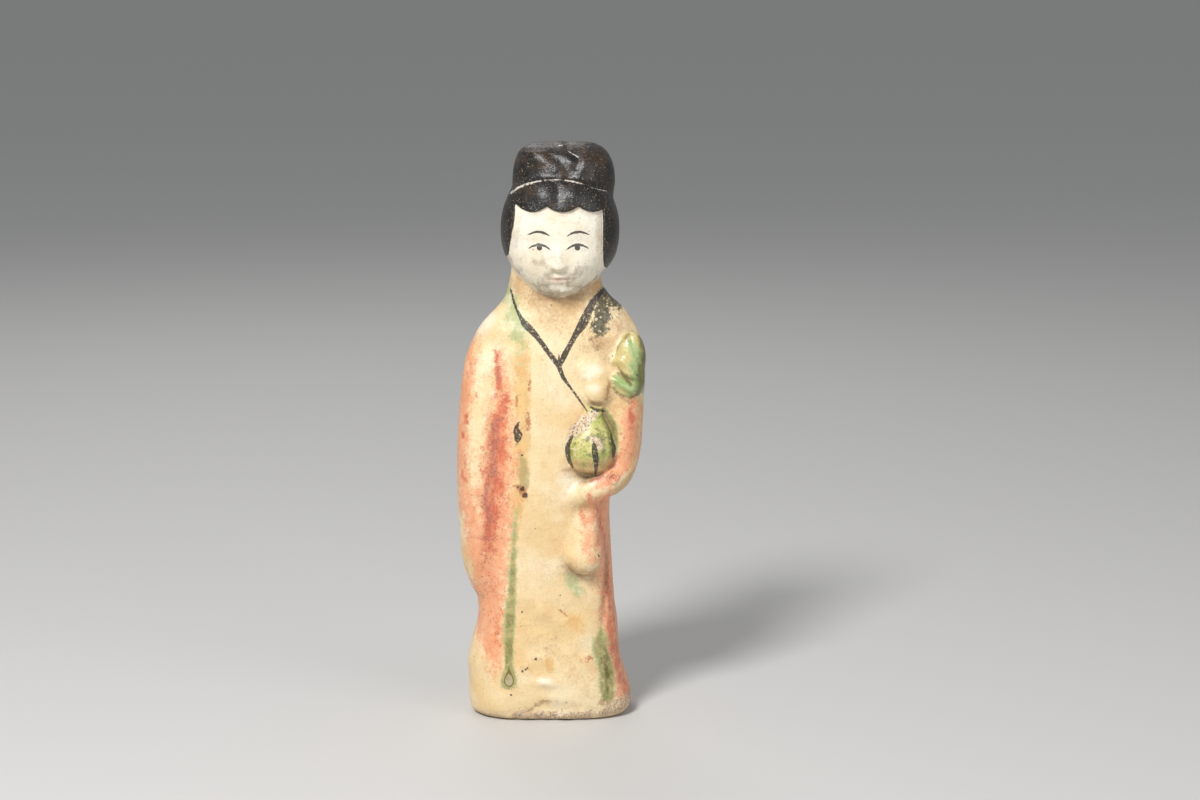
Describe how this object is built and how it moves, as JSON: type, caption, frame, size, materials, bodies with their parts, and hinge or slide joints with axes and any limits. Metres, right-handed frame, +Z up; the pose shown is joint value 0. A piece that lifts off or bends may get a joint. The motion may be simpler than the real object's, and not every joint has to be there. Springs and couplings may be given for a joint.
{
  "type": "ceramic tomb figure",
  "caption": "Standing robed lady in glazed and painted pottery, a bottle vase and lotus leaf held on the left arm, on a flat closed foot.",
  "frame": {"origin": "middle of the flat underside, at the height it stands on", "axes": "+Z up through the head, -Y the way the lady faces, +X towards the lady's left arm, which holds the vase"},
  "size_m": [0.0661, 0.0405, 0.2],
  "materials": {
    "glazed_slip": "worn satin glaze over slip and painted colours"
  },
  "bodies": {
    "root": {"figure": "glazed_slip"}
  },
  "joints": []
}
